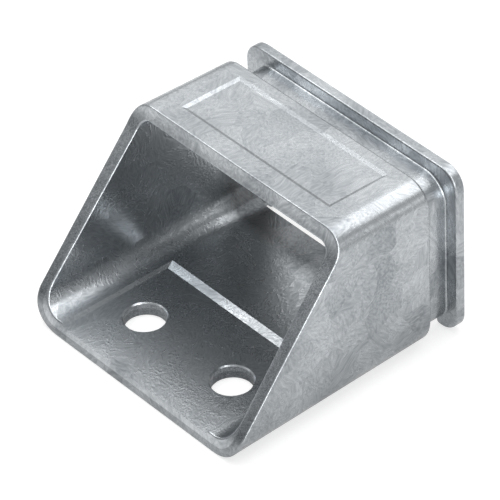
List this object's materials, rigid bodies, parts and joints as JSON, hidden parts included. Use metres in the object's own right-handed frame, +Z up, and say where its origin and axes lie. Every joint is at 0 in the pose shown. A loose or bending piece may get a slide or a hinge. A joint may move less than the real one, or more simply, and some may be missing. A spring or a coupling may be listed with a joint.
{
  "type": "flanged sleeve bracket",
  "caption": "Galvanised sleeve bracket with a slanted open front, bolt holes in its floor and an arch-shaped flange behind a stepped neck.",
  "frame": {"origin": "on the underside, midway between the two bolt holes", "axes": "+X across the bracket along the row of holes, +Y back towards the flange, +Z up out of the floor"},
  "size_m": [0.0926, 0.0886, 0.0607],
  "materials": {
    "galvanised_steel": "hot-dip galvanised, satin, with a feathery spangle"
  },
  "bodies": {
    "root": {"bracket": "galvanised_steel"}
  },
  "joints": []
}
